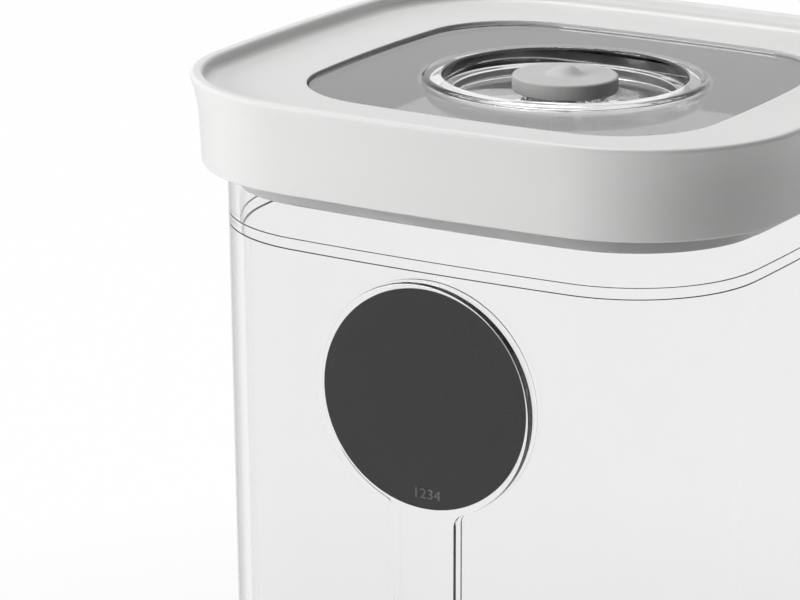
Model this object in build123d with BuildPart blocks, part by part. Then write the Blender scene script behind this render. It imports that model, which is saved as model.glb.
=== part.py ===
from build123d import *
import os
from math import atan2, cos, degrees, radians, sin, sqrt, tan

os.makedirs("parts", exist_ok=True)

# Overall sizes, in millimetres. The base stands on z = 0 and the label faces -Y
total_height = 170.0
lid_half = 56.0  # half the width across the crest of the lid's rim
side_bow = 2.88  # how far each side bows out past its corners
lid_corner = 30.5  # corner radius at the crest
cut_overrun = 2.0  # how far a cut runs past the face it opens
seat_gap = 0.3  # gap between the lid and what it sits on or slides in
fit_gap = 0.1  # gap between pieces that are fixed together

# Lid frame
rim_width = 2.2
rim_bevel = 0.4
rim_edge = 0.8
rim_cove = 1.25
deck_drop = 2.67
deck_thickness = 2.2
deck_join = 5.5
skirt_height = 15.65
skirt_inset = 1.89
skirt_wall = 1.7
skirt_flare = 1.5
flare_height = 8.5
skirt_bevel = 0.3

# Window panel and its opening in the deck
deck_width = 17.68  # crest of the rim to the window's opening
window_bow = 2.28
window_corner = 18.8
window_drop = 0.58
panel_thickness = 2.6
flange_width = 2.6
window_edge = 0.25

# Pump well in the middle of the window
collar_radius = 24.8
collar_width = 3.43
collar_bevel = 0.3
collar_step = 0.5
well_draft = 0.17
ledge_depth = 2.83
ledge_width = 1.57
well_depth = 4.63
cup_inset = 0.6
cup_floor = 1.8
cup_bevel = 0.8
boss_radius = 7.4
boss_height = 1.8
vent_radius = 0.9
vent_ring = 5.0
vent_count = 4

# Silicone valve
cap_radius = 9.24
cap_thickness = 2.8
cap_bevel = 0.25
cap_hollow = 0.5
nub_radius = 3.3
nub_tip = 1.2
nub_height = 1.5
stem_radius = 1.9
valve_travel = 1.5
barb_radius = 2.7
barb_length = 2.6
barb_tip = 1.1

# Container
wall_draft = 1.04  # degrees that each wall leans out towards the mouth
body_inset = 6.25  # wall outside, in from the crest, at the skirt's lower edge
body_wall = 2.5
mouth_wall = 1.9
lip_bevel = 0.5
shoulder_depth = 26.7  # lower edge of the inner shoulder, below the crest
shoulder_height = 2.0
floor_height = 4.2
floor_bevel = 3.0
base_bevel = 2.2
foot_width = 4.8
foot_depth = 1.3

# Plug ring and gasket below the deck
plug_gap = 2.5
plug_wall = 2.2
plug_length = 14.0
plug_flange = 1.6
tongue_width = 0.7
tongue_height = 1.6
tongue_depth = 5.6
gasket_length = 14.2
gasket_back = 1.35
gasket_top = 0.7
bead_height = 3.6
bead_bevel = 0.35
upper_bead = 1.8
upper_bead_depth = 3.6

# Label and the raised keyhole pad on the front wall
label_radius = 19.11
label_thickness = 0.5
adhesive_thickness = 0.12
adhesive_margin = 0.6
label_depth = 48.36  # label centre below the crest
pad_height = 0.8
pad_slope = 5.0  # degrees that the sides of the pad and its pocket lean
pad_margin = 1.1
pad_sink = 1.0  # how far the pad's solid reaches into the wall
pocket_depth = 2.2
pocket_gap = 0.1
strip_half = 5.85
strip_blend = 2.5
strip_foot = 16.0

# Heights, radii and insets worked out from the sizes above
window_half = lid_half - deck_width
well_radius = collar_radius - collar_width
ledge_radius = well_radius - ledge_width
cup_radius = collar_radius - cup_inset
crest = total_height
deck_top = crest - deck_drop
deck_base = deck_top - deck_thickness
panel_top = deck_top - window_drop
panel_base = panel_top - panel_thickness
floor_top = deck_top - well_depth
cup_base = floor_top - cup_floor
cap_base = floor_top + boss_height + fit_gap
lip_height = deck_base - gasket_top - fit_gap / 2 - seat_gap
shoulder_low = crest - shoulder_depth
shoulder_top = shoulder_low + shoulder_height
lean = tan(radians(wall_draft))


def body_side(height):
    # How far the container's outside lies in from the crest at a height
    return body_inset + (crest - skirt_height - height) * lean


def bowed_square(half, bow, corner, inset, height):
    # Square outline with bowed sides and round corners, moved inwards
    side_radius = ((half - bow) ** 2 + bow**2) / (2 * bow)
    shift = side_radius - half
    near = (sqrt(2 * (side_radius - inset) ** 2 - shift**2) - shift) / 2
    side = half - inset
    with BuildSketch(Plane.XY.offset(height)) as shape:
        with BuildLine():
            ThreePointArc((-near, -near), (0, -side), (near, -near))
            ThreePointArc((near, -near), (side, 0), (near, near))
            ThreePointArc((near, near), (0, side), (-near, near))
            ThreePointArc((-near, near), (-side, 0), (-near, -near))
        make_face()
        fillet(shape.vertices(), corner - inset)
    return shape.sketch


def lid_outline(inset, height):
    return bowed_square(lid_half, side_bow, lid_corner, inset, height)


def window_outline(inset, height):
    return bowed_square(window_half, window_bow, window_corner, inset, height)


def cut_corner(sketch, x, y, length):
    # Takes the sharp corner nearest to a point off a section
    chamfer(sketch.vertices().sort_by_distance((x, y))[0], length)


# Path round the crest. Sections on it are drawn with x inwards and y upwards
crest_path = lid_outline(0, crest).wire()
crest_tangent = crest_path % 0
section_plane = Plane(
    origin=crest_path @ 0,
    x_dir=Vector(0, 0, 1).cross(crest_tangent),
    z_dir=crest_tangent,
)

# Lid frame: rim, skirt and deck in one moulding
with BuildPart() as lid_frame:
    with BuildSketch(section_plane) as rim_section:
        with BuildLine():
            skirt_line = Line((skirt_inset, -skirt_height), (skirt_flare, -flare_height))
            TangentArc(skirt_line @ 1, (0, -rim_edge), tangent=skirt_line % 1)
            Polyline(
                (0, -rim_edge),
                (0, 0),
                (rim_width, 0),
                (rim_width, -deck_drop),
                (deck_join, -deck_drop),
                (deck_join, -deck_drop - deck_thickness),
                (skirt_inset + skirt_wall, -deck_drop - deck_thickness),
                (skirt_inset + skirt_wall, -skirt_height),
                (skirt_inset, -skirt_height),
            )
        make_face()
        cut_corner(rim_section, 0, 0, rim_bevel)
        cut_corner(rim_section, rim_width, 0, rim_bevel)
        cut_corner(rim_section, rim_width, -deck_drop, rim_cove)
        cut_corner(rim_section, skirt_inset, -skirt_height, skirt_bevel)
    sweep(path=crest_path)
    extrude(lid_outline(deck_join - fit_gap, deck_base), amount=deck_thickness)
    extrude(
        window_outline(0, deck_base - cut_overrun),
        amount=deck_thickness + 2 * cut_overrun,
        mode=Mode.SUBTRACT,
    )
lid_frame.part.label = "lid_frame"
export_step(lid_frame.part, "parts/lid_frame.step")

# Clear window panel with the pump well moulded in
with BuildPart() as lid_window:
    extrude(window_outline(-flange_width, panel_base), amount=deck_base - panel_base)
    extrude(window_outline(fit_gap, panel_base), amount=panel_thickness)
    chamfer(lid_window.edges().group_by(Axis.Z)[-1], window_edge)
    with BuildSketch(Plane.XY.offset(cup_base)) as well_hole:
        Circle(ledge_radius)
    extrude(amount=crest, mode=Mode.SUBTRACT)
    with BuildSketch(Plane.XZ) as cup_section:
        with BuildLine():
            Polyline(
                (stem_radius + fit_gap, cup_base),
                (cup_radius, cup_base),
                (cup_radius, panel_base + window_edge),
                (collar_radius, panel_base + window_edge),
                (collar_radius, panel_top),
                (collar_radius - collar_step, deck_top),
                (well_radius, deck_top),
                (well_radius - well_draft, deck_top - ledge_depth),
                (ledge_radius, deck_top - ledge_depth),
                (ledge_radius - well_draft, floor_top),
                (boss_radius, floor_top),
                (boss_radius, floor_top + boss_height),
                (stem_radius + fit_gap, floor_top + boss_height),
                close=True,
            )
        make_face()
        cut_corner(cup_section, cup_radius, cup_base, cup_bevel)
        cut_corner(cup_section, collar_radius - collar_step, deck_top, collar_bevel)
        cut_corner(cup_section, well_radius, deck_top, collar_bevel)
    revolve(axis=Axis.Z)
    with BuildSketch(Plane.XY.offset(cup_base)) as vents:
        with PolarLocations(vent_ring, vent_count):
            Circle(vent_radius)
    extrude(amount=crest, mode=Mode.SUBTRACT)
lid_window.part.label = "lid_window"
export_step(lid_window.part, "parts/lid_window.step")

# Plug ring: clamps the window to the deck and carries the gasket
plug_inset = body_side(crest - shoulder_depth) + mouth_wall + plug_gap
plug_base = deck_base - plug_length
with BuildPart() as lid_plug:
    extrude(lid_outline(plug_inset, plug_base), amount=plug_length)
    tongue_low = deck_base - tongue_depth - tongue_height
    extrude(lid_outline(plug_inset - tongue_width, tongue_low), amount=tongue_height)
    bore_height = panel_base - plug_flange - plug_base
    extrude(
        lid_outline(plug_inset + plug_wall, plug_base - cut_overrun),
        amount=bore_height + cut_overrun,
        mode=Mode.SUBTRACT,
    )
    extrude(window_outline(-flange_width - fit_gap, panel_base), amount=crest, mode=Mode.SUBTRACT)
    extrude(window_outline(fit_gap, plug_base), amount=crest, mode=Mode.SUBTRACT)
lid_plug.part.label = "lid_plug"
export_step(lid_plug.part, "parts/lid_plug.step")

# Gasket: a face seal over the container's lip and two beads inside its mouth
with BuildPart() as lid_gasket:
    back = plug_inset - fit_gap / 2
    front = back - gasket_back
    top = deck_base - fit_gap / 2 - crest
    foot = top - gasket_length
    reach = body_side(crest + foot) + mouth_wall + seat_gap
    slot_top = deck_base - tongue_depth + fit_gap - crest
    slot_low = slot_top - tongue_height - 2 * fit_gap
    slot_back = back - tongue_width
    with BuildSketch(section_plane) as seal_section:
        with BuildLine():
            Polyline(
                (body_side(lip_height), top),
                (back, top),
                (back, slot_top),
                (slot_back, slot_top),
                (slot_back, slot_low),
                (back, slot_low),
                (back, foot),
                (reach, foot),
                (reach, foot + bead_height),
                (front, foot + bead_height + bead_bevel),
                (front, top - upper_bead_depth - upper_bead),
                (reach, top - upper_bead_depth - upper_bead / 2),
                (front, top - upper_bead_depth),
                (front, top - gasket_top),
                (body_side(lip_height), top - gasket_top),
                close=True,
            )
        make_face()
        cut_corner(seal_section, reach, foot, bead_bevel)
        cut_corner(seal_section, reach, foot + bead_height, bead_bevel)
    sweep(path=crest_path)
lid_gasket.part.label = "lid_gasket"
export_step(lid_gasket.part, "parts/lid_gasket.step")

# Umbrella valve: cap with a nub to lift it by, stem and barb
with BuildPart() as valve:
    cap_top = cap_base + cap_thickness
    barb_top = cup_base - valve_travel - seat_gap
    with BuildSketch(Plane.XZ) as valve_section:
        with BuildLine():
            Polyline(
                (0, barb_top - barb_length),
                (barb_tip, barb_top - barb_length),
                (barb_radius, barb_top),
                (stem_radius, barb_top),
                (stem_radius, cap_base + cap_hollow),
                (boss_radius - cap_hollow, cap_base + cap_hollow),
                (boss_radius - cap_hollow, cap_base),
                (cap_radius, cap_base),
                (cap_radius, cap_top),
                (nub_radius, cap_top),
                (nub_tip, cap_top + nub_height),
                (0, cap_top + nub_height),
                close=True,
            )
        make_face()
        cut_corner(valve_section, cap_radius, cap_top, cap_bevel)
    revolve(axis=Axis.Z)
valve.part.label = "valve"
export_step(valve.part, "parts/valve.step")

# Front plane through the label's centre, on the leaning wall
label_height = crest - label_depth
front_plane = Plane(
    origin=(0, body_side(label_height) - lid_half, label_height),
    x_dir=(1, 0, 0),
    z_dir=(0, -cos(radians(wall_draft)), -sin(radians(wall_draft))),
)
pocket_plane = front_plane.offset(pad_height - pocket_depth)
pad_radius = label_radius + pad_margin
strip_length = (label_height - strip_foot) / cos(radians(wall_draft))


def keyhole(grow, plane):
    # Round pad with a strip running down from it
    radius = pad_radius + grow
    half = strip_half + grow
    with BuildSketch(plane) as shape:
        Circle(radius)
        with BuildLine():
            down = Line((-half, 0), (-half, half - strip_length))
            round_end = TangentArc(down @ 1, (half, half - strip_length), tangent=down % 1)
            Polyline(round_end @ 1, (half, 0), (-half, 0))
        make_face()
        joints = shape.vertices().filter_by_position(Axis.Y, -radius, -radius / 2)
        fillet(joints.group_by(Axis.Y)[-1], strip_blend - grow)
    return shape.sketch.face()


def drafted_block(inset, low, high, lean_angle):
    # Block with the lid's outline whose walls lean out from its lower face
    with BuildPart() as block:
        extrude(lid_outline(inset, low), amount=high - low)
        walls = block.faces().filter_by(GeomType.CYLINDER)
        draft(walls, neutral_plane=Plane.XY.offset(low), angle=-lean_angle)
    return block.part


# Clear container with a shoulder below the mouth and a foot ring
with BuildPart() as container_body:
    add(drafted_block(body_side(0), 0, lip_height, wall_draft))
    chamfer(container_body.edges().group_by(Axis.Z)[0], base_bevel)
    low_inset = body_side(shoulder_low) + body_wall
    high_inset = body_side(shoulder_top) + mouth_wall
    shoulder_lean = degrees(atan2(low_inset - high_inset, shoulder_height))
    store = drafted_block(body_side(floor_height) + body_wall, floor_height, shoulder_low, wall_draft)
    shoulder = drafted_block(low_inset, shoulder_low, shoulder_top, shoulder_lean)
    mouth = drafted_block(high_inset, shoulder_top, lip_height, wall_draft)
    add(store, mode=Mode.SUBTRACT)
    chamfer(container_body.edges().filter_by_position(Axis.Z, floor_height, floor_height), floor_bevel)
    add(shoulder, mode=Mode.SUBTRACT)
    add(mouth, mode=Mode.SUBTRACT)
    chamfer(container_body.edges().group_by(Axis.Z)[-1], lip_bevel)
    foot_inset = body_side(0) + base_bevel + foot_width
    extrude(lid_outline(foot_inset, 0), amount=foot_depth, mode=Mode.SUBTRACT)
    pad_spread = (pad_sink + pad_height) * tan(radians(pad_slope))
    pad_root = keyhole(pad_spread, front_plane.offset(-pad_sink))
    loft([pad_root, keyhole(0, front_plane.offset(pad_height))], ruled=True)
    with BuildSketch(pocket_plane):
        Circle(label_radius + pocket_gap)
    extrude(amount=pocket_depth + cut_overrun, taper=-pad_slope, mode=Mode.SUBTRACT)
container_body.part.label = "container_body"
export_step(container_body.part, "parts/container_body.step")

# Label disc on its adhesive, in the pad's pocket
with BuildPart() as label_adhesive:
    with BuildSketch(pocket_plane):
        Circle(label_radius - adhesive_margin)
    extrude(amount=adhesive_thickness)
label_adhesive.part.label = "label_adhesive"
export_step(label_adhesive.part, "parts/label_adhesive.step")

with BuildPart() as label_disc:
    with BuildSketch(pocket_plane.offset(adhesive_thickness)):
        Circle(label_radius)
    extrude(amount=label_thickness)
label_disc.part.label = "label_disc"
export_step(label_disc.part, "parts/label_disc.step")

lid_pieces = [lid_frame, lid_window, lid_plug, lid_gasket, valve]
for piece in [container_body, label_adhesive, label_disc] + lid_pieces:
    size = piece.part.bounding_box().size
    print(piece.part.label, len(piece.part.solids()), size)
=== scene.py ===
import math
import bmesh
import bpy
from mathutils import Matrix, Vector


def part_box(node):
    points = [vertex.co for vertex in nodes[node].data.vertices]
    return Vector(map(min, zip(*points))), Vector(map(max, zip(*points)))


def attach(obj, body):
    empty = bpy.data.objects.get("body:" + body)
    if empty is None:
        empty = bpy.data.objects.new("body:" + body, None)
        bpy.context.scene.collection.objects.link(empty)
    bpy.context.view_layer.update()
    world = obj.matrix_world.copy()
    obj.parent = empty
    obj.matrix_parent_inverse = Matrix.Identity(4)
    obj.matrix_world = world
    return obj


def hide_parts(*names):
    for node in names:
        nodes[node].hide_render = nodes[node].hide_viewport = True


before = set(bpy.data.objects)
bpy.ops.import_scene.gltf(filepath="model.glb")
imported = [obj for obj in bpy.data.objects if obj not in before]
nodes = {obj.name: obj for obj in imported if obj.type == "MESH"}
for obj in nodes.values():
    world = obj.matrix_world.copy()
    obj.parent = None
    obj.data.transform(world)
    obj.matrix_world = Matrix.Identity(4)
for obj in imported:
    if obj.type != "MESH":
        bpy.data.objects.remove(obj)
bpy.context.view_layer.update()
print("CAD frame loaded")


# Shader helpers

class Sock:
    # Wraps a socket so that shader maths reads like a formula
    def __init__(self, tree, socket):
        self.tree = tree
        self.socket = socket

    def math(self, operation, *others):
        node = self.tree.nodes.new("ShaderNodeMath")
        node.operation = operation
        for place, item in zip(node.inputs, (self, *others)):
            if isinstance(item, Sock):
                self.tree.links.new(item.socket, place)
            else:
                place.default_value = item
        return Sock(self.tree, node.outputs[0])

    def flipped(self, operation, other):
        node = self.tree.nodes.new("ShaderNodeMath")
        node.operation = operation
        node.inputs[0].default_value = other
        self.tree.links.new(self.socket, node.inputs[1])
        return Sock(self.tree, node.outputs[0])

    def __add__(self, other):
        return self.math("ADD", other)

    def __mul__(self, other):
        return self.math("MULTIPLY", other)

    def __pow__(self, other):
        return self.math("POWER", other)

    def __rsub__(self, other):
        return self.flipped("SUBTRACT", other)

    __radd__ = __add__
    __rmul__ = __mul__


class Paint:
    # A node material with one call for any node
    def __init__(self, name):
        self.material = bpy.data.materials.new(name)
        self.material.use_nodes = True
        self.tree = self.material.node_tree
        self.tree.nodes.clear()

    def node(self, kind, settings=None, **values):
        made = self.tree.nodes.new("ShaderNode" + kind)
        for key, value in (settings or {}).items():
            setattr(made, key, value)
        for key, value in values.items():
            place = made.inputs[key.replace("_", " ")]
            if isinstance(value, Sock):
                self.tree.links.new(value.socket, place)
            else:
                place.default_value = value
        return made

    def out(self, made, name=0):
        return Sock(self.tree, made.outputs[name])

    def place(self):
        return self.out(self.node("TexCoord"), "Object")

    def noise(self, scale, detail=3.0, roughness=0.5):
        made = self.node("TexNoise", Vector=self.place(), Scale=scale, Detail=detail, Roughness=roughness)
        return self.out(made, "Fac")

    def blend(self, amount, low, high):
        # Colour between low and high
        made = self.node("Mix", {"data_type": "RGBA"})
        self.tree.links.new(amount.socket, made.inputs[0])
        made.inputs[6].default_value = (*low, 1.0)
        made.inputs[7].default_value = (*high, 1.0)
        return Sock(self.tree, made.outputs[2])

    def mix(self, amount, low, high):
        # A colour link, faded into a fixed colour
        made = self.node("Mix", {"data_type": "RGBA"})
        self.tree.links.new(amount.socket, made.inputs[0])
        self.tree.links.new(low.socket, made.inputs[6])
        made.inputs[7].default_value = (*high, 1.0)
        return Sock(self.tree, made.outputs[2])

    def facing(self, blend):
        # Rises where the surface turns away, as clear plastic darkens at its edges
        return self.out(self.node("LayerWeight", Blend=blend), "Facing") ** 3

    def bump(self, height, distance, strength):
        made = self.node("Bump", Height=height, Distance=distance, Strength=strength)
        return self.out(made, "Normal")

    def fade(self, amount, first, second):
        # One shader faded into another
        made = self.node("MixShader")
        self.tree.links.new(amount.socket, made.inputs[0])
        self.tree.links.new(first.outputs[0], made.inputs[1])
        self.tree.links.new(second.outputs[0], made.inputs[2])
        return made

    def finish(self, shader):
        output = self.node("OutputMaterial")
        self.tree.links.new(shader.outputs[0], output.inputs["Surface"])
        return self.material


# Materials

clearLook = {
    "tint": (0.925, 0.925, 0.925),
    "tintDeep": (0.91, 0.91, 0.91),
    "tintEdge": (0.58, 0.58, 0.58),
    "edgeBlend": 0.36,
    "ior": 1.49,
    "roughLow": 0.012,
    "roughSpan": 0.02,
    "flowScale": 55.0,
    "handlingScale": 495.0,
    "flowDepth": 0.00006,
    "flowStrength": 0.12,
}


def clearPlastic(name, look):
    p = Paint(name)
    flow = p.noise(look["flowScale"], 2.0)
    handling = p.noise(look["handlingScale"], 5.0, 0.6)
    tone = p.blend(flow, look["tint"], look["tintDeep"])
    # Inside the pump well the painted shade gives way to a clear tint
    if "wellTint" in look:
        across = p.node("SeparateXYZ", Vector=p.place())
        reach = sum(p.out(across, way) ** 2 for way in "XY") ** 0.5
        well = p.node("MapRange", Value=reach, To_Min=1.0, To_Max=0.0, **look["wellFade"])
        tone = p.mix(p.out(well), tone, look["wellTint"])
    shader = p.node(
        "BsdfPrincipled",
        Base_Color=p.mix(p.facing(look["edgeBlend"]), tone, look["tintEdge"]),
        Roughness=handling * look["roughSpan"] + look["roughLow"],
        IOR=look["ior"],
        Normal=p.bump(flow, look["flowDepth"], look["flowStrength"]),
    )
    shader.inputs["Transmission Weight"].default_value = 1.0
    return p.finish(shader)


whiteLook = {
    "light": (0.86, 0.86, 0.85),
    "dark": (0.82, 0.82, 0.815),
    "cloudScale": 24.0,
    "rough": 0.36,
    "roughSpan": 0.12,
    "roughScale": 160.0,
    "peelScale": 900.0,
    "peelDepth": 0.00002,
    "peelStrength": 0.25,
    "scatter": 0.12,
    "scatterReach": (0.004, 0.004, 0.0038),
    "scatterScale": 0.5,
}


def whitePlastic(name, look):
    p = Paint(name)
    cloud = p.noise(look["cloudScale"], 4.0)
    peel = p.noise(look["peelScale"], 2.0)
    shader = p.node(
        "BsdfPrincipled",
        Base_Color=p.blend(cloud, look["light"], look["dark"]),
        Roughness=p.noise(look["roughScale"], 4.0) * look["roughSpan"] + look["rough"],
        Normal=p.bump(peel, look["peelDepth"], look["peelStrength"]),
    )
    shader.inputs["Subsurface Weight"].default_value = look["scatter"]
    shader.inputs["Subsurface Radius"].default_value = look["scatterReach"]
    shader.inputs["Subsurface Scale"].default_value = look["scatterScale"]
    return p.finish(shader)


# As they stand, these colours serve only the seal. Its near-white is partly the silicone's own pale tone and
# partly painted light, lifting the strip that lies in the skirt's shade
siliconeLook = {
    "light": (0.93, 0.93, 0.92),
    "dark": (0.90, 0.90, 0.89),
    "cloudScale": 60.0,
    "rough": 0.5,
    "roughSpan": 0.18,
    "roughScale": 300.0,
    "grainScale": 1400.0,
    "grainDepth": 0.00002,
    "grainStrength": 0.3,
    "sheen": 0.25,
}


def silicone(name, look):
    p = Paint(name)
    cloud = p.noise(look["cloudScale"], 4.0)
    shader = p.node(
        "BsdfPrincipled",
        Base_Color=p.blend(cloud, look["light"], look["dark"]),
        Roughness=p.noise(look["roughScale"], 4.0) * look["roughSpan"] + look["rough"],
        Normal=p.bump(p.noise(look["grainScale"], 2.0), look["grainDepth"], look["grainStrength"]),
    )
    shader.inputs["Sheen Weight"].default_value = look["sheen"]
    return p.finish(shader)


labelLook = {
    "light": (0.012, 0.012, 0.012),
    "dark": (0.008, 0.008, 0.008),
    "gloss": 0.2,
    "cloudScale": 90.0,
    "rough": 0.5,
    "roughSpan": 0.15,
    "roughScale": 420.0,
    "grainScale": 2600.0,
    "grainDepth": 0.00001,
    "grainStrength": 0.03,
}


def labelFilm(name, look):
    p = Paint(name)
    cloud = p.noise(look["cloudScale"], 5.0)
    shader = p.node(
        "BsdfPrincipled",
        Base_Color=p.blend(cloud, look["light"], look["dark"]),
        Roughness=p.noise(look["roughScale"], 4.0) * look["roughSpan"] + look["rough"],
        Normal=p.bump(p.noise(look["grainScale"], 2.0), look["grainDepth"], look["grainStrength"]),
    )
    shader.inputs["Specular IOR Level"].default_value = look["gloss"]
    return p.finish(shader)


def setMaterial(piece, material):
    piece.data.materials.clear()
    piece.data.materials.append(material)


bodyClear = clearPlastic("clearBody", clearLook)
# The window panel's dark grey tint is painted shade, for the shaded plug and lid inside seen through clear
# plastic. Inside the well the plastic stays clear
windowPaintedShadeLook = {
    **clearLook,
    "tint": (0.29, 0.29, 0.29),
    "tintDeep": (0.27, 0.27, 0.27),
    "edgeBlend": 0.2,
    "wellTint": (0.95, 0.95, 0.95),
    "wellFade": {"From_Min": 0.0249, "From_Max": 0.0258},
}
windowClearPaintedShade = clearPlastic("clearWindowPaintedShade", windowPaintedShadeLook)
lidWhite = whitePlastic("lidWhite", whiteLook)
sealPaleAndPaintedLight = silicone("sealPaleAndPaintedLight", siliconeLook)
valveLook = {**siliconeLook, "light": (0.60, 0.60, 0.595), "dark": (0.56, 0.56, 0.555)}
valveGrey = silicone("valveGrey", valveLook)
# The plug is white plastic. Its grey here is painted shade, for the dim inside of the lid seen through the
# window
plugPaintedShade = silicone("plugPaintedShade", {**valveLook, "dark": (0.57, 0.57, 0.565)})
labelDark = labelFilm("labelDark", labelLook)
countGrey = labelFilm("countGrey", {**labelLook, "light": (0.30, 0.30, 0.30), "dark": (0.27, 0.27, 0.27)})
# The adhesive behind the label is pale, so a light line shows at the disc's edge. This is partly a pale layer
# and partly a painted highlight
paleAdhesiveAndPaintedHighlight = silicone("paleAdhesiveAndPaintedHighlight", {**siliconeLook, "light": (0.8, 0.8, 0.78), "dark": (0.76, 0.76, 0.74)})

for nodeName, material in {"label_adhesive": paleAdhesiveAndPaintedHighlight, "lid_plug": plugPaintedShade}.items():
    setMaterial(nodes[nodeName], material)
print("materials made")


# Outlines. Each point is a centre, a radius and a direction, so that an outline can be moved in or out

mm = 0.001
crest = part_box("lid_frame")[1].z / mm

lidLine = {"half": 56.0, "bow": 2.88, "corner": 30.5, "sideSteps": 24, "cornerSteps": 40}
windowLine = {"half": 38.32, "bow": 2.28, "corner": 18.8, "sideSteps": 24, "cornerSteps": 40}


def wayAt(angle):
    return Vector((math.cos(angle), math.sin(angle)))


def bowRadius(line):
    return ((line["half"] - line["bow"]) ** 2 + line["bow"] ** 2) / (2 * line["bow"])


def squareOutline(line):
    sideRadius = bowRadius(line)
    shift = sideRadius - line["half"]
    corner = (math.sqrt(2 * (sideRadius - line["corner"]) ** 2 - shift**2) - shift) / 2
    spread = math.atan2(corner, corner + shift)
    points = []
    for quarter in range(4):
        turn = Matrix.Rotation(quarter * math.pi / 2, 2)
        for step in range(line["sideSteps"]):  # the bowed side
            way = wayAt(spread * (2 * step / line["sideSteps"] - 1))
            points.append((turn @ Vector((-shift, 0)), sideRadius, turn @ way))
        for step in range(line["cornerSteps"]):  # the round corner
            way = wayAt(spread + (math.pi / 2 - 2 * spread) * step / line["cornerSteps"])
            points.append((turn @ Vector((corner, corner)), line["corner"], turn @ way))
    return points


def roundOutline(like):
    # Circle with its points in line with another outline's. Its inset is minus the radius
    return [(Vector((0, 0)), 0.0, (centre + radius * way).normalized()) for centre, radius, way in like]


lidOutline = squareOutline(lidLine)
windowOutline = squareOutline(windowLine)
circleOutline = roundOutline(windowOutline)


# Modelling helpers

def selectRing(number):
    bpy.ops.mesh.select_all(action="DESELECT")
    mesh = bmesh.from_edit_mesh(bpy.context.object.data)
    ring = mesh.verts.layers.int["ring"]
    for edge in mesh.edges:
        edge.select_set(all(point[ring] == number for point in edge.verts))
    bmesh.update_edit_mesh(bpy.context.object.data)


def placeRing(number, outline, inset, height):
    mesh = bmesh.from_edit_mesh(bpy.context.object.data)
    step = mesh.verts.layers.int["step"]
    ring = mesh.verts.layers.int["ring"]
    for point in mesh.verts:
        if point.select:
            centre, radius, direction = outline[point[step]]
            place = centre + (radius - inset) * direction
            level = height(place) if callable(height) else height
            point.co = Vector((place.x, place.y, level)) * mm
            point[ring] = number
    bmesh.update_edit_mesh(bpy.context.object.data)


def ringPiece(name, rings, closed, segments=4):
    # One ring of points, extruded from place to place along a section. Sharp rings are then rounded
    bpy.ops.object.select_all(action="DESELECT")
    bpy.ops.mesh.primitive_circle_add(vertices=len(rings[0][0]), radius=0.01)
    piece = bpy.context.object
    piece.name = name
    bpy.context.tool_settings.mesh_select_mode = (False, True, False)
    bpy.ops.object.mode_set(mode="EDIT")
    bpy.ops.mesh.select_all(action="SELECT")
    mesh = bmesh.from_edit_mesh(piece.data)
    step = mesh.verts.layers.int.new("step")
    mesh.verts.layers.int.new("ring")
    for place, point in enumerate(mesh.verts):
        point[step] = place
    bmesh.update_edit_mesh(piece.data)
    for number, (outline, inset, height, softness) in enumerate(rings, 1):
        if number > 1:
            bpy.ops.mesh.extrude_edges_indiv()
        placeRing(number, outline, inset, height)
    if closed:
        selectEnds(len(rings))
        bpy.ops.mesh.bridge_edge_loops()
    else:
        bpy.ops.mesh.edge_face_add()
        selectRing(1)
        bpy.ops.mesh.edge_face_add()
    # The first ring comes last, because rounding it leaves points with other rings' numbers
    for number in (*range(2, len(rings) + 1), 1):
        softness = rings[number - 1][3]
        if softness:
            selectRing(number)
            bpy.ops.mesh.bevel(offset=softness * mm, offset_type="OFFSET", segments=segments, affect="EDGES")
    bpy.ops.mesh.select_all(action="SELECT")
    bpy.ops.mesh.normals_make_consistent(inside=False)
    bpy.ops.object.mode_set(mode="OBJECT")
    for layer in ("step", "ring"):
        piece.data.attributes.remove(piece.data.attributes[layer])
    return piece


def selectEnds(last):
    selectRing(1)
    mesh = bmesh.from_edit_mesh(bpy.context.object.data)
    ring = mesh.verts.layers.int["ring"]
    for edge in mesh.edges:
        if all(point[ring] == last for point in edge.verts):
            edge.select_set(True)
    bmesh.update_edit_mesh(bpy.context.object.data)


def applyModifier(piece, kind, **values):
    bpy.ops.object.select_all(action="DESELECT")
    piece.select_set(True)
    bpy.context.view_layer.objects.active = piece
    modifier = piece.modifiers.new(kind.lower(), kind)
    for key, value in values.items():
        setattr(modifier, key, value)
    bpy.ops.object.modifier_apply(modifier=modifier.name)


def smooth(piece, angle=40):
    bpy.ops.object.select_all(action="DESELECT")
    piece.select_set(True)
    bpy.context.view_layer.objects.active = piece
    bpy.ops.object.shade_smooth_by_angle(angle=math.radians(angle))
    applyModifier(piece, "WEIGHTED_NORMAL", keep_sharp=True, weight=60)


def combine(piece, other, operation):
    # Takes the other shape out of a piece, or joins it on
    applyModifier(piece, "BOOLEAN", object=other, operation=operation, solver="EXACT")
    bpy.data.objects.remove(other)


def dress(piece, node, material, body):
    setMaterial(piece, material)
    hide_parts(node)
    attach(piece, body)


# White lid frame: rim, skirt and deck

lidFrame = {
    "deckDrop": 2.67,
    "deckThick": 2.2,
    "underSoft": 0.5,
    "rimWide": 2.2,
    "rimSoft": 0.6,
    "coveSoft": 1.7,
    "openingSoft": 0.2,
    "openingUnderSoft": 0.1,
    "skirtDrop": 15.65,
    "skirtInset": 1.89,
    "skirtWall": 1.7,
    "skirtSoft": 0.4,
    "flareInset": 1.5,
    "flareDrop": 8.5,
    "flareEnd": 0.8,
    "flareSteps": 6,
}


def flareLine(size):
    # Arc that carries on from the skirt's line and ends just below the crest, as inset and drop
    start = Vector((size["flareInset"], size["flareDrop"]))
    way = (start - Vector((size["skirtInset"], size["skirtDrop"]))).normalized()
    chord = Vector((0, size["flareEnd"])) - start
    whole = math.atan2(way.x * chord.y - way.y * chord.x, way.dot(chord))
    points = []
    for step in range(size["flareSteps"] + 1):
        turn = whole * step / size["flareSteps"]
        reach = chord.length * math.sin(turn) / math.sin(whole)
        points.append(start + reach * (Matrix.Rotation(turn, 2) @ way))
    return points


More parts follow.
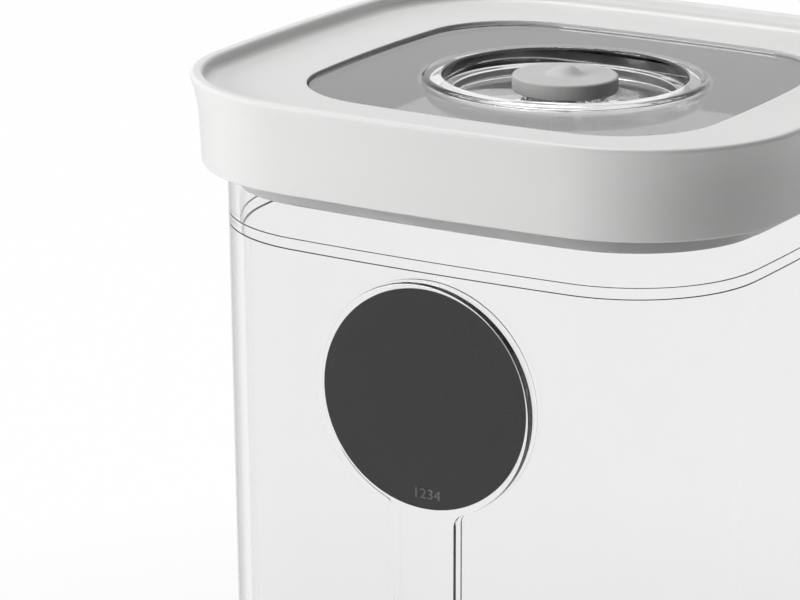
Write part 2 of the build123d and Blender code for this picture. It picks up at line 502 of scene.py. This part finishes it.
def makeLidFrame(size):
    deck = crest - size["deckDrop"]
    under = deck - size["deckThick"]
    foot = crest - size["skirtDrop"]
    inner = size["skirtInset"] + size["skirtWall"]
    rings = [(lidOutline, inner, under, size["underSoft"]), (lidOutline, inner, foot, size["skirtSoft"])]
    rings.append((lidOutline, size["skirtInset"], foot, size["skirtSoft"]))
    rings += [(lidOutline, inset, crest - drop, 0) for inset, drop in flareLine(size)]
    rings += [
        (lidOutline, 0, crest, size["rimSoft"]),
        (lidOutline, size["rimWide"], crest, size["rimSoft"]),
        (lidOutline, size["rimWide"], deck, size["coveSoft"]),
        (windowOutline, 0, deck, size["openingSoft"]),
        (windowOutline, 0, under, size["openingUnderSoft"]),
    ]
    piece = ringPiece("lidFrame", rings, closed=True, segments=6)
    smooth(piece)
    dress(piece, "lid_frame", lidWhite, "lid")


makeLidFrame(lidFrame)
print("lid frame made")


# Clear window with the collar and the stepped pump well

lidWindow = {
    "flange": 2.6,
    "flangeSoft": 0.2,
    "gap": 0.1,
    "panelDrop": 3.25,
    "panelThick": 2.6,
    "edgeSoft": 0.3,
    "collar": 24.8,
    "collarTop": 24.3,
    "collarFootSoft": 0.25,
    "collarSoft": 0.4,
    "well": 21.37,
    "wellFootSoft": 0.2,
    "ledge": 19.8,
    "ledgeSoft": 0.3,
    "draft": 0.17,
    "ledgeDrop": 5.5,
    "floorDrop": 7.3,
    "floorSoft": 0.5,
    "cup": 24.2,
    "cupDrop": 9.1,
    "cupSoft": 0.9,
    "boss": 7.4,
    "bossSoft": 0.3,
    "stemHole": 2.0,
    "stemHoleSoft": 0.15,
    "vent": 0.9,
    "ventRing": 5.0,
    "ventSides": 32,
    "ventCut": 20.0,
}


def makeVentCutter(size, turn):
    bpy.ops.object.select_all(action="DESELECT")
    place = Vector((math.cos(turn), math.sin(turn), 0)) * size["ventRing"] * mm
    place.z = (crest - size["cupDrop"]) * mm
    bpy.ops.mesh.primitive_cylinder_add(
        vertices=size["ventSides"], radius=size["vent"] * mm, depth=size["ventCut"] * mm, location=place
    )
    cutter = bpy.context.object
    bpy.ops.object.transform_apply(location=True)
    return cutter


def makeLidWindow(size):
    deck = crest - lidFrame["deckDrop"]
    under = deck - lidFrame["deckThick"]
    top = crest - size["panelDrop"]
    base = top - size["panelThick"]
    cup = crest - size["cupDrop"]
    ledge = crest - size["ledgeDrop"]
    floor = crest - size["floorDrop"]
    rings = [
        (circleOutline, -size["stemHole"], cup, size["stemHoleSoft"]),
        (circleOutline, -size["cup"], cup, size["cupSoft"]),
        (circleOutline, -size["cup"], base, 0),
        (windowOutline, -size["flange"], base, size["flangeSoft"]),
        (windowOutline, -size["flange"], under, size["flangeSoft"]),
        (windowOutline, size["gap"], under, 0),
        (windowOutline, size["gap"], top, size["edgeSoft"]),
        (circleOutline, -size["collar"], top, size["collarFootSoft"]),
        (circleOutline, -size["collarTop"], deck, size["collarSoft"]),
        (circleOutline, -size["well"], deck, size["collarSoft"]),
        (circleOutline, size["draft"] - size["well"], ledge, size["wellFootSoft"]),
        (circleOutline, -size["ledge"], ledge, size["ledgeSoft"]),
        (circleOutline, size["draft"] - size["ledge"], floor, size["floorSoft"]),
        (circleOutline, -size["boss"], floor, size["bossSoft"]),
        (circleOutline, -size["boss"], ledge, size["bossSoft"]),
        (circleOutline, -size["stemHole"], ledge, size["stemHoleSoft"]),
    ]
    piece = ringPiece("lidWindow", rings, closed=True)
    for quarter in range(4):
        combine(piece, makeVentCutter(size, quarter * math.pi / 2), "DIFFERENCE")
    smooth(piece)
    dress(piece, "lid_window", windowClearPaintedShade, "lid")


makeLidWindow(lidWindow)
print("window made")


# Silicone valve, from below upwards. Each point has a radius, a drop from the crest and a rounding

valveShape = {
    "barb": [(1.1, 13.5, 0.3), (2.7, 10.9, 0.2), (1.9, 10.9, 0.2)],
    "cap": [(1.9, 4.9, 0.2), (6.9, 4.9, 0), (6.9, 5.4, 0), (9.24, 5.4, 0.3), (9.24, 2.6, 0.45)],
    "nub": [(3.3, 2.6, 0.8), (1.3, 1.1, 0.7)],
}


def makeValve(shape):
    points = [point for part in shape.values() for point in part]
    rings = [(circleOutline, -radius, crest - drop, softness) for radius, drop, softness in points]
    piece = ringPiece("valveCap", rings, closed=False, segments=8)
    smooth(piece)
    dress(piece, "valve", valveGrey, "valve")


makeValve(valveShape)
print("valve made")


# Silicone gasket: face seal over the container's lip and two beads in its mouth

gasket = {
    "outer": 6.12,
    "inner": 10.8,
    "wall": 9.45,
    "bead": 8.514,
    "topDrop": 4.92,
    "faceDrop": 5.62,
    "faceSoft": 0.25,
    "neckSoft": 0.3,
    "beadDrop": 9.42,
    "beadHalf": 0.9,
    "beadSoft": 0.35,
    "groove": 10.1,
    "grooveDrop": 10.37,
    "grooveWide": 1.8,
    "lowBeadDrop": 15.52,
    "lowBeadRise": 0.52,
    "lowBeadSoft": 0.5,
    "lowNeckSoft": 0.2,
    "footDrop": 19.12,
    "footSoft": 0.3,
}


def makeGasket(size):
    grooveEnd = size["grooveDrop"] + size["grooveWide"]
    section = [
        (size["outer"], size["topDrop"], 0),
        (size["inner"], size["topDrop"], 0),
        (size["inner"], size["grooveDrop"], 0),
        (size["groove"], size["grooveDrop"], 0),
        (size["groove"], grooveEnd, 0),
        (size["inner"], grooveEnd, 0),
        (size["inner"], size["footDrop"], size["footSoft"]),
        (size["bead"], size["footDrop"], size["lowBeadSoft"]),
        (size["bead"], size["lowBeadDrop"], size["lowBeadSoft"]),
        (size["wall"], size["lowBeadDrop"] - size["lowBeadRise"], size["lowNeckSoft"]),
        (size["wall"], size["beadDrop"] + size["beadHalf"], 0),
        (size["bead"], size["beadDrop"], size["beadSoft"]),
        (size["wall"], size["beadDrop"] - size["beadHalf"], 0),
        (size["wall"], size["faceDrop"], size["neckSoft"]),
        (size["outer"], size["faceDrop"], size["faceSoft"]),
    ]
    rings = [(lidOutline, inset, crest - drop, softness) for inset, drop, softness in section]
    piece = ringPiece("lidGasket", rings, closed=True)
    smooth(piece)
    dress(piece, "lid_gasket", sealPaleAndPaintedLight, "lid")


makeGasket(gasket)
print("gasket made")


# Clear container: leaning walls, inner shoulder in two steps, foot ring and the raised keyhole pad

container = {
    "lean": 1.04,
    "insetAtSkirt": 6.25,
    "lip": 164.08,
    "mouthWall": 1.9,
    "wall": 2.5,
    "shoulderTop": 145.3,
    "shoulderLow": 143.3,
    "stepWall": 2.15,
    "shoulderSlope": 60.0,
    "shoulderSoft": 0.08,
    "floor": 4.2,
    "floorSoft": 5.0,
    "baseSoft": 3.0,
    "footWide": 4.0,
    "footDeep": 1.3,
    "footSoft": 0.4,
    "footInnerSoft": 0.3,
    "lipSoft": 0.6,
    "smoothAngle": 34,
}
pad = {
    "height": 121.64,
    "round": 20.21,
    "proud": 0.8,
    "slope": 5.0,
    "halfStrip": 6.27,
    "blend": 2.5,
    "reach": 105.66,
    "edge": 0.22,
    "foot": 0.03,
    "footSteps": 6,
    "footStart": 9.0,
    "wallIn": 6.8,
    "root": 3.0,
    "rootOut": 0.2,
    "rootSink": 0.03,
    "roundSteps": 120,
    "sideSteps": 12,
    "endSteps": 32,
}


def wallInset(size, height):
    drop = crest - lidFrame["skirtDrop"] - height
    return size["insetAtSkirt"] + drop * math.tan(math.radians(size["lean"]))


def frontPlace(size, height, depth=0.0):
    # Matrix of the leaning front plane: x to the right, y up the wall and z out of it
    lean = math.radians(size["lean"])
    out = Vector((0, -math.cos(lean), -math.sin(lean)))
    up = Vector((0, -math.sin(lean), math.cos(lean)))
    centre = Vector((0, wallInset(size, height) - lidLine["half"], height)) - out * depth
    turned = Matrix((Vector((1, 0, 0)), up, out)).transposed().to_4x4()
    return Matrix.Translation(centre * mm) @ turned


def arc(centre, radius, low, high, steps, inward=False):
    points = []
    for step in range(steps):
        way = wayAt(math.radians(low + (high - low) * step / steps))
        points.append((Vector(centre), -radius, -way) if inward else (Vector(centre), radius, way))
    return points


def straight(start, end, way, steps):
    return [(Vector(start).lerp(Vector(end), step / steps), 0.0, Vector(way)) for step in range(steps)]


def keyholeOutline(size):
    half = size["halfStrip"]
    side = half + size["blend"]
    drop = -math.sqrt((size["round"] + size["blend"]) ** 2 - side**2)
    lean = math.degrees(math.atan2(drop, side))
    low = half - size["reach"]
    steps = size["sideSteps"]
    points = arc((0, 0), size["round"], lean, 180 - lean, size["roundSteps"])
    points += arc((-side, drop), size["blend"], -lean, 0, steps, True)
    points += straight((-half, drop), (-half, low), (-1, 0), steps)
    points += arc((0, low), half, 180, 360, size["endSteps"])
    points += straight((half, low), (half, drop), (1, 0), steps)
    points += arc((side, drop), size["blend"], 180, 180 + lean, steps, True)
    return points


def makePad(size):
    # Flat raised pad. Its sloping side runs into the bowed wall through a small hollow fillet
    line = keyholeOutline(size)
    wallRadius = bowRadius(lidLine) - size["wallIn"]

    def dip(place):
        return math.sqrt(wallRadius**2 - place.x**2) - wallRadius

    foot = size["foot"]
    slope = math.tan(math.radians(size["slope"]))
    steep = 90 - size["slope"]
    side = []
    for centre, radius, way in line:
        rise = size["proud"] - dip(centre + radius * way)
        side.append((centre, radius + rise * slope, way))
    spread = foot * math.tan(math.radians(steep / 2))
    rings = [
        (side, -spread, -size["root"], 0),
        (side, -spread - size["rootOut"] * foot, lambda place: dip(place) - size["rootSink"] * foot, 0),
    ]
    start = size["footStart"]
    for step in range(size["footSteps"] + 1):
        turn = math.radians(start + (steep - start) * step / size["footSteps"])
        across = spread - foot * math.sin(turn)
        high = foot * (1 - math.cos(turn))
        rings.append((side, -across, lambda place, high=high: dip(place) + high, 0))
    rings.append((line, 0, size["proud"], size["edge"]))
    piece = ringPiece("pad", rings, closed=False)
    piece.data.transform(frontPlace(container, size["height"]))
    return piece


def makeContainer(size):
    def ring(height, extra, soft):
        return (lidOutline, wallInset(size, height) + extra, height, soft)

    foot = wallInset(size, 0) + size["baseSoft"] + size["footWide"]
    slope = 2 * math.tan(math.radians(size["shoulderSlope"]))
    upper = (size["stepWall"] - size["mouthWall"]) / slope
    lower = (size["wall"] - size["stepWall"]) / slope
    rings = [
        (lidOutline, foot, size["footDeep"], size["footInnerSoft"]),
        (lidOutline, foot, 0, size["footSoft"]),
        ring(0, 0, size["baseSoft"]),
        ring(size["lip"], 0, size["lipSoft"]),
        ring(size["lip"], size["mouthWall"], size["lipSoft"]),
        ring(size["shoulderTop"] + upper, size["mouthWall"], size["shoulderSoft"]),
        ring(size["shoulderTop"] - upper, size["stepWall"], size["shoulderSoft"]),
        ring(size["shoulderLow"] + lower, size["stepWall"], size["shoulderSoft"]),
        ring(size["shoulderLow"] - lower, size["wall"], size["shoulderSoft"]),
        ring(size["floor"], size["wall"], size["floorSoft"]),
    ]
    piece = ringPiece("containerBody", rings, closed=False, segments=6)
    combine(piece, makePad(pad), "UNION")
    smooth(piece, size["smoothAngle"])
    dress(piece, "container_body", bodyClear, "container")


makeContainer(container)
print("container made")


# Dark label disc, moulded in behind the pad's clear front, with a small count near its lower edge

label = {
    "radius": 19.11,
    "thick": 0.5,
    "depth": 1.28,
    "soft": 0.12,
    "count": "1234",
    "countHigh": 1.75,
    "countWide": 4.8,
    "countThick": 0.04,
    "countX": 0.9,
    "countY": -16.4,
}


def makeLabel(size):
    bpy.ops.object.select_all(action="DESELECT")
    edge = [(0, 0), (size["thick"], size["soft"])]
    rings = [(circleOutline, -size["radius"], height, softness) for height, softness in edge]
    piece = ringPiece("labelDisc", rings, closed=False)
    piece.data.transform(frontPlace(container, pad["height"], size["depth"]))
    smooth(piece)
    dress(piece, "label_disc", labelDark, "container")


def makeCount(size):
    bpy.ops.object.select_all(action="DESELECT")
    bpy.ops.object.text_add(location=(0, 0, 0))
    words = bpy.context.object
    words.data.body = size["count"]
    words.data.align_x = "CENTER"
    words.data.align_y = "CENTER"
    words.data.size = 1.0
    words.data.extrude = 0.01
    bpy.ops.object.convert(target="MESH")
    piece = bpy.context.object
    piece.name = "labelCount"
    low = Vector([min(point.co[axis] for point in piece.data.vertices) for axis in range(3)])
    high = Vector([max(point.co[axis] for point in piece.data.vertices) for axis in range(3)])
    middle = (low + high) / 2
    span = high - low
    wanted = (size["countWide"], size["countHigh"], size["countThick"])
    stretch = Matrix.Diagonal((*(want / have for want, have in zip(wanted, span)), 1.0))
    shrink = Matrix.Scale(mm, 4) @ Matrix.Translation((size["countX"], size["countY"], 0)) @ stretch
    piece.data.transform(shrink @ Matrix.Translation(-middle))
    piece.data.transform(frontPlace(container, pad["height"], size["depth"] - size["thick"]))
    setMaterial(piece, countGrey)
    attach(piece, "container")


makeLabel(label)
makeCount(label)
print("label made")


# Studio

studio = {
    "floorSize": 12.0,
    "floorTone": (0.80, 0.80, 0.80),
    "shadowFade": {"From_Min": 0.06, "From_Max": 0.26, "To_Min": 0.75, "To_Max": 0.99},
    "worldLight": 0.082,
}
greyCard = {
    "size": 0.2,
    "narrow": 0.5,
    "place": (-0.155, 0.022, 0.09),
    "turn": 65.0,
    "tone": (0.40, 0.40, 0.40),
    "fade": {"From_Min": 0.02, "From_Max": 0.095},
}
lamps = {
    "key": {"place": (-0.36, -0.52, 0.30), "aim": (0, -0.03, 0.13), "wide": 0.35, "high": 0.26, "power": 2.6},
    "top": {"place": (-0.28, 0.24, 1.19), "aim": (0, 0, 0.16), "wide": 0.5, "high": 0.5, "power": 7.7},
    "side": {"place": (0.90, 0.30, 0.07), "aim": (0, 0, 0.07), "wide": 0.9, "high": 0.13, "power": 0.5},
}


def whiteBehind(tree):
    # 1 where the camera sees the background, also in a reflection or through clear plastic
    path = tree.nodes.new("ShaderNodeLightPath")
    seen = sum(Sock(tree, path.outputs["Is %s Ray" % kind]) for kind in ("Camera", "Glossy", "Transmission"))
    return seen.math("MINIMUM", 1.0) * (1 - Sock(tree, path.outputs["Diffuse Depth"]).math("MINIMUM", 1.0))


def makeFloor(values):
    bpy.ops.object.select_all(action="DESELECT")
    bpy.ops.mesh.primitive_plane_add(size=values["floorSize"], location=(0, 0, 0))
    floor = bpy.context.object
    floor.name = "floor"
    p = Paint("paleFloor")
    matt = p.node("BsdfDiffuse", Color=(*values["floorTone"], 1.0))
    bright = p.node("Emission", Color=(1, 1, 1, 1), Strength=1.0)
    reach = p.out(p.node("VectorMath", {"operation": "LENGTH"}, Vector=p.place()), "Value")
    # The shadow shows only near the object
    clean = p.out(p.node("MapRange", Value=reach, **values["shadowFade"]))
    floor.data.materials.append(p.finish(p.fade(whiteBehind(p.tree) * clean, matt, bright)))


def makeWorld(values):
    world = bpy.data.worlds.new("studioWorld")
    bpy.context.scene.world = world
    world.use_nodes = True
    tree = world.node_tree
    back = tree.nodes["Background"]
    strength = whiteBehind(tree) * (1.0 - values["worldLight"]) + values["worldLight"]
    tree.links.new(strength.socket, back.inputs["Strength"])
    back.inputs["Color"].default_value = (1, 1, 1, 1)


def makeFlag(values):
    # Grey card to the left, which shows only as a reflection in the clear wall's edge
    bpy.ops.object.select_all(action="DESELECT")
    bpy.ops.mesh.primitive_plane_add(size=values["size"], location=values["place"])
    flag = bpy.context.object
    flag.name = "flag"
    flag.visible_camera = flag.visible_shadow = flag.visible_diffuse = flag.visible_transmission = False
    flag.rotation_euler = (math.radians(90), 0, math.radians(values["turn"]))
    flag.scale.x = values["narrow"]
    p = Paint("greyCard")
    grey = p.node("Emission", Color=(*values["tone"], 1.0), Strength=1.0)
    white = p.node("Emission", Color=(1, 1, 1, 1), Strength=1.0)
    across = p.out(p.node("SeparateXYZ", Vector=p.place()), "X").math("ABSOLUTE")
    ends = p.node("MapRange", {"interpolation_type": "SMOOTHSTEP"}, Value=across, **values["fade"])
    flag.data.materials.append(p.finish(p.fade(p.out(ends), grey, white)))


def softBox(name, box):
    light = bpy.data.lights.new(name, "AREA")
    light.shape = "RECTANGLE"
    light.size = box["wide"]
    light.size_y = box["high"]
    light.energy = box["power"]
    lamp = bpy.data.objects.new(name, light)
    bpy.context.scene.collection.objects.link(lamp)
    lamp.visible_camera = False
    lamp.location = box["place"]
    lamp.rotation_euler = (Vector(box["aim"]) - Vector(box["place"])).to_track_quat("-Z", "Y").to_euler()


makeFloor(studio)
makeWorld(studio)
makeFlag(greyCard)
for lampName, lamp in lamps.items():
    softBox(lampName + "Box", lamp)
print("studio lit")


# Camera, at the photograph's angle

view = {
    "turn": 29.83,
    "rise": 16.46,
    "roll": 0.43,
    "distance": 0.62933,
    "lens": 160.62,
    "sideAim": -0.02833,
    "aimBelowCrest": 0.04366,
}


def makeCamera(values):
    turn = math.radians(values["turn"])
    rise = math.radians(values["rise"])
    roll = math.radians(values["roll"])
    back = Vector((math.sin(turn) * math.cos(rise), -math.cos(turn) * math.cos(rise), math.sin(rise)))
    right = Vector((math.cos(turn), math.sin(turn), 0))
    up = back.cross(right)
    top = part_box("lid_frame")[1].z
    aim = right * values["sideAim"] + Vector((0, 0, top - values["aimBelowCrest"]))
    across = math.cos(roll) * right + math.sin(roll) * up
    upright = math.cos(roll) * up - math.sin(roll) * right
    data = bpy.data.cameras.new("camera")
    data.lens = values["lens"]
    data.sensor_width = 36.0
    camera = bpy.data.objects.new("camera", data)
    bpy.context.scene.collection.objects.link(camera)
    turned = Matrix((across, upright, back)).transposed().to_4x4()
    camera.matrix_world = Matrix.Translation(aim + back * values["distance"]) @ turned
    bpy.context.scene.camera = camera


makeCamera(view)
bpy.context.scene.view_settings.view_transform = "Standard"
print("camera set")
